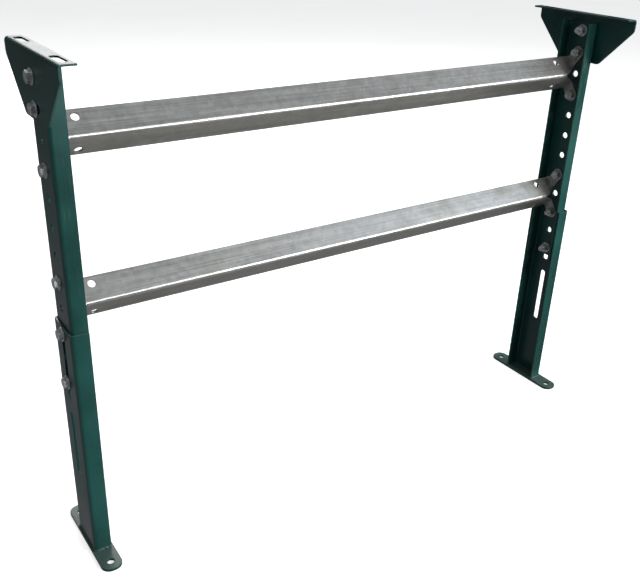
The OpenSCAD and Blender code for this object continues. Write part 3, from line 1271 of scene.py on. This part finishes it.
@dataclass
class Fasteners:
    """Hex bolts, nuts and washers. Each master lies along +X, with its seat at the origin.

    A wrench is stopped where it likes, so each head and nut gets its own turn.
    """

    stand: Stand
    flats: float = 14.3 * MM
    head: float = 5.9 * MM
    nut_height: float = 8.3 * MM
    shank: float = 9.5 * MM
    pitch: float = 1.6 * MM
    thread_depth: float = 0.75 * MM
    thread_start: float = 0.5 * MM
    point_size: float = 0.82
    face_size: float = 0.96
    blank_size: float = 1.004
    washer_size: float = 20.6 * MM
    washer_sheet: float = 1.6 * MM
    gap: float = 0.05 * MM
    head_edge: float = 0.12 * MM
    nut_edge: float = 0.15 * MM
    washer_edge: float = 0.3 * MM
    stop_angles: tuple[float, float] = (math.radians(-32), math.radians(-12))

    def hexagon(self, name: str, height: float, both_ends: bool) -> Object:
        """Makes a hexagon with its corners turned down to a cone at the ends.

        Args:
            name: Name of the piece.
            height: Height along +X from the seat.
            both_ends: Whether the seat end is turned down too.

        Returns:
            The hexagon.
        """
        corner = self.flats / 2 / math.cos(math.pi / 6)
        face = self.flats / 2 * self.face_size
        cone = (corner - face) * math.tan(math.pi / 6)
        piece = rod(name, Vector((0, 0, 0)), Vector((height, 0, 0)), corner, sides=6)
        start = cone if both_ends else 0.0
        ends = Vector((start, 0, 0)), Vector((height - cone, 0, 0))
        blank = rod("blank", *ends, corner * self.blank_size, 72)
        with editing(blank):
            for sign, wanted in ((1, True), (-1, both_ends)):
                if not wanted:
                    continue
                pick(blank, Part.FACE, lambda end: end.normal.x * sign > FACING)
                bpy.ops.mesh.extrude_region_move(
                    TRANSFORM_OT_translate={"value": (sign * cone, 0, 0)}
                )
                middle = (height if sign > 0 else 0.0, 0, 0)
                bpy.ops.transform.resize(
                    value=(1, face / corner, face / corner), center_override=middle
                )
        work(piece, blank, Join.KEEP)
        return piece

    def thread(self, length: float) -> Object:
        """Makes a threaded shank from the seat along -X, with a turned end.

        Args:
            length: Length from the seat to the end.

        Returns:
            The shank.
        """
        crest = self.shank / 2
        root = (crest - self.thread_depth) / crest
        ends = Vector((self.thread_start, 0, 0)), Vector((-2 * self.pitch, 0, 0))
        piece = rod("shank", *ends, crest, 32)
        with editing(piece):
            pick(piece, Part.FACE, lambda face: face.normal.x < -FACING)
            place = -2 * self.pitch
            while place - 1.5 * self.pitch > -length:
                for scale in (root, 1 / root):
                    place -= self.pitch / 2
                    bpy.ops.mesh.extrude_region_move(
                        TRANSFORM_OT_translate={"value": (-self.pitch / 2, 0, 0)}
                    )
                    bpy.ops.transform.resize(value=(1, scale, scale), center_override=(place, 0, 0))
            bpy.ops.mesh.extrude_region_move(
                TRANSFORM_OT_translate={"value": (-length - place, 0, 0)}
            )
            bpy.ops.transform.resize(
                value=(1, self.point_size, self.point_size), center_override=(-length, 0, 0)
            )
        return piece

    def bolt(self, length: float) -> Object:
        """Makes a bolt with its head along +X and its shank along -X.

        Args:
            length: Length of its shank.

        Returns:
            The bolt.
        """
        piece = self.hexagon("bolt", self.head, both_ends=False)
        work(piece, self.thread(length), Join.WELD)
        soften(piece, self.head_edge, segments=1)
        return piece

    def ring(self, piece: Object, height: float) -> None:
        """Bores a nut or a washer for the shank.

        Args:
            piece: The nut or washer.
            height: Its height from the seat.
        """
        bore = rod(
            "bore",
            Vector((-OVERCUT, 0, 0)),
            Vector((height + OVERCUT, 0, 0)),
            self.shank / 2 + self.gap,
            32,
        )
        work(piece, bore, Join.CUT)

    def nut(self) -> Object:
        """Makes a nut along +X from its seat."""
        piece = self.hexagon("nut", self.nut_height, both_ends=True)
        self.ring(piece, self.nut_height)
        soften(piece, self.nut_edge, segments=1)
        return piece

    def washer(self) -> Object:
        """Makes a washer along +X from its inner face."""
        ends = Vector((0, 0, 0)), Vector((self.washer_sheet, 0, 0))
        piece = rod("washer", *ends, self.washer_size / 2, 64)
        self.ring(piece, self.washer_sheet)
        soften(piece, self.washer_edge)
        return piece

    def place(
        self, node: str, master: Object, spots: list[tuple[float, float]], facing: int
    ) -> None:
        """Puts copies of a master on a leg and hands them over as one piece.

        Args:
            node: The CAD node that they stand for.
            master: The master to copy.
            spots: Signed X of the seat and height of each copy.
            facing: 1 if the master's +X points to +X, and -1 if it points to -X.
        """
        rng = random.Random(node)
        copies = []
        for x, height in spots:
            turn = Matrix.Rotation(0 if facing > 0 else math.pi, 3, "Z")
            spun = Matrix.Rotation(rng.uniform(*self.stop_angles), 3, "X")
            copies.append(copied(master, turn @ spun, Vector((x, 0, height))))
        piece = joined(f"{node}_plated", copies)
        self.stand.hand_over(piece, node, "frame", "zinc_plate")

    def build(self) -> None:
        """Builds all the fasteners of both legs."""
        nut, washer = self.nut(), self.washer()
        masters = {}
        for side in Side:
            sign = side.value
            for group in ("pivot", "tilt_lock", "brace", "leg_clamp"):
                plural = "s" if group in ("brace", "leg_clamp") else ""
                bolts = side.node(f"{group}_bolt{plural}")
                low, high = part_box(bolts)
                head_out = max(abs(low.x), abs(high.x))
                length = round(high.x - low.x - self.head, 5)
                lowest, highest = low.z + self.flats / 2, high.z - self.flats / 2
                heights = sorted({round(z, 5) for z in (lowest, highest)}, reverse=True)
                if length not in masters:
                    masters[length] = self.bolt(length)
                seat = sign * (head_out - self.head)
                self.place(bolts, masters[length], [(seat, z) for z in heights], sign)
                nuts = side.node(f"{group}_nut{plural}")
                low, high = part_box(nuts)
                near, far = sorted((abs(low.x), abs(high.x)))
                seats = [near + self.nut_height, far][: len(heights)]
                spots = [(sign * x, z) for x, z in zip(seats, heights)]
                self.place(nuts, nut, spots, -sign)
                self.washers(side, group, heights, washer)
        for master in (nut, washer, *masters.values()):
            bpy.data.objects.remove(master)

    def washers(self, side: Side, group: str, heights: list[float], washer: Object) -> None:
        """Places the washers of one group: under each head, and under the nut that has no tab.

        Args:
            side: The leg.
            group: Start of the group's node names, after the side.
            heights: Heights of the group's bolts, from the top one down.
            washer: The master washer.
        """
        node = side.node(f"{group}_washer" + ("" if group == "tilt_lock" else "s"))
        low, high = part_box(node)
        near, far = sorted((abs(low.x), abs(high.x)))
        spots = [(side.value * (far - self.washer_sheet), z) for z in heights]
        if far - near > 2 * self.washer_sheet:
            spots.append((side.value * near, heights[-1]))
        self.place(node, washer, spots, side.value)


@dataclass(frozen=True)
class Softbox:
    """A square area light: its place, side, power, what it shines at, and its colour."""

    name: str
    place: tuple[float, float, float]
    size: float
    watts: float
    aim: tuple[float, float, float] = (0, 0, 0.4)
    tint: str = "#ffffff"

    def add(self) -> None:
        """Adds the light, which the camera doesn't see."""
        data = bpy.data.lights.new(self.name, "AREA")
        data.size = self.size
        data.energy = self.watts
        data.color = linear(self.tint)[:3]
        light = bpy.data.objects.new(self.name, data)
        light.visible_camera = False
        light.location = self.place
        shine = Vector(self.aim) - Vector(self.place)
        light.rotation_euler = shine.to_track_quat("-Z", "Y").to_euler()
        bpy.context.scene.collection.objects.link(light)


@dataclass
class Studio:
    """White floor, soft lights and camera."""

    floor_size: float = 40
    wall_radius: float = 19
    wall_height: float = 24
    softboxes: tuple[Softbox, ...] = (
        Softbox("front_right", (2.0, -2.7, 1.6), 1.7, 130),
        Softbox("front", (0.4, -3.0, 1.1), 0.8, 26),
        Softbox("upper_right", (2.1, -1.5, 2.2), 1.3, 7, (2.1, -1.5, 0), "#dbe9ff"),
        Softbox("upper_left", (-2.1, -1.5, 2.4), 1.3, 8, (-2.1, -1.5, 0)),
        Softbox("left", (-2.8, 0.6, 0.6), 0.4, 3.5),
        Softbox("back", (0.8, 3.6, 1.6), 2.4, 42),
        Softbox("back_high", (0.9, 3.0, 3.2), 2.4, 36),
    )
    overhead: tuple[float, float, float] = (0.2, -0.1, 0.97)
    surround: tuple[tuple[float, str], ...] = (
        (0.18, "#87868a"), (0.34, "#444443"), (0.5, "#3b3b3c"), (0.7, "#6b6d70"), (1.0, "#8f9194")
    )
    lens: float = 45.59
    sensor: float = 36
    camera_place: tuple[float, float, float] = (-0.751, -0.977, 0.909)
    yaw: float = math.radians(35.0)
    pitch: float = math.radians(-26.01)
    roll: float = math.radians(2.14)

    def camera(self) -> None:
        """Adds the camera and makes it the scene's."""
        data = bpy.data.cameras.new("camera")
        data.lens = self.lens
        data.sensor_width = self.sensor
        data.clip_start, data.clip_end = 0.01, 50
        camera = bpy.data.objects.new("camera", data)
        bpy.context.scene.collection.objects.link(camera)
        flat = Vector((math.sin(self.yaw), math.cos(self.yaw), 0))
        ahead = flat * math.cos(self.pitch) + Vector((0, 0, math.sin(self.pitch)))
        right = Vector((math.cos(self.yaw), -math.sin(self.yaw), 0))
        up = right.cross(ahead)
        tilted_right = right * math.cos(self.roll) + up * math.sin(self.roll)
        tilted_up = tilted_right.cross(ahead)
        axes = Matrix((tilted_right, tilted_up, -ahead)).transposed()
        camera.matrix_world = Matrix.Translation(Vector(self.camera_place)) @ axes.to_4x4()
        bpy.context.scene.camera = camera

    def floor(self) -> None:
        """Adds a wide floor, and a pale wall round it that only the camera sees."""
        acrylic = StudioFloor("backlit_white_acrylic").make()
        bpy.ops.mesh.primitive_plane_add(size=self.floor_size)
        floor = newest("studio_floor")
        bpy.ops.mesh.primitive_cylinder_add(
            vertices=64,
            radius=self.wall_radius,
            depth=self.wall_height,
            end_fill_type="NOTHING",
            location=(0, 0, self.wall_height / 2),
        )
        wall = newest("studio_wall")
        wall.visible_shadow = False
        for stage in (floor, wall):
            stage.data.materials.append(acrylic)
            stage.visible_glossy = False
            stage.visible_diffuse = False

    def lights(self) -> None:
        """Adds a dim surround and the softboxes."""
        world = bpy.data.worlds.new("dim_surround")
        world.use_nodes = True
        tree = world.node_tree
        # The room is lightest overhead and a little to the right, and darkest at eye level
        towards_light = add_node(
            tree,
            "VectorMath",
            {"operation": "DOT_PRODUCT", 1: self.overhead},
            in0=add_node(tree, "TexCoord").outputs["Generated"],
        ).outputs["Value"]
        raised = add_node(
            tree, "MapRange", {1: -1.0, 2: 1.0, 3: 0.0, 4: 1.0}, Value=towards_light
        ).outputs["Result"]
        pale = ramp(tree, raised, list(self.surround))
        tree.links.new(pale, tree.nodes["Background"].inputs["Color"])
        bpy.context.scene.world = world
        bpy.context.scene.view_settings.view_transform = "Standard"
        for softbox in self.softboxes:
            softbox.add()

    def build(self) -> None:
        """Adds the camera, the floor and the lights."""
        self.camera()
        self.floor()
        self.lights()


def main() -> None:
    """Builds the studio and the stand."""
    logging.basicConfig(level=logging.INFO, format="%(name)s: %(message)s")
    Studio().build()
    stand = Stand()
    for side in Side:
        Leg(stand, side).build()
        SwivelBracket(stand, side).build()
    for node in ("upper_cross_member", "lower_cross_member"):
        CrossMember(stand, node).build()
    Fasteners(stand).build()


if __name__ == "__main__":
    main()
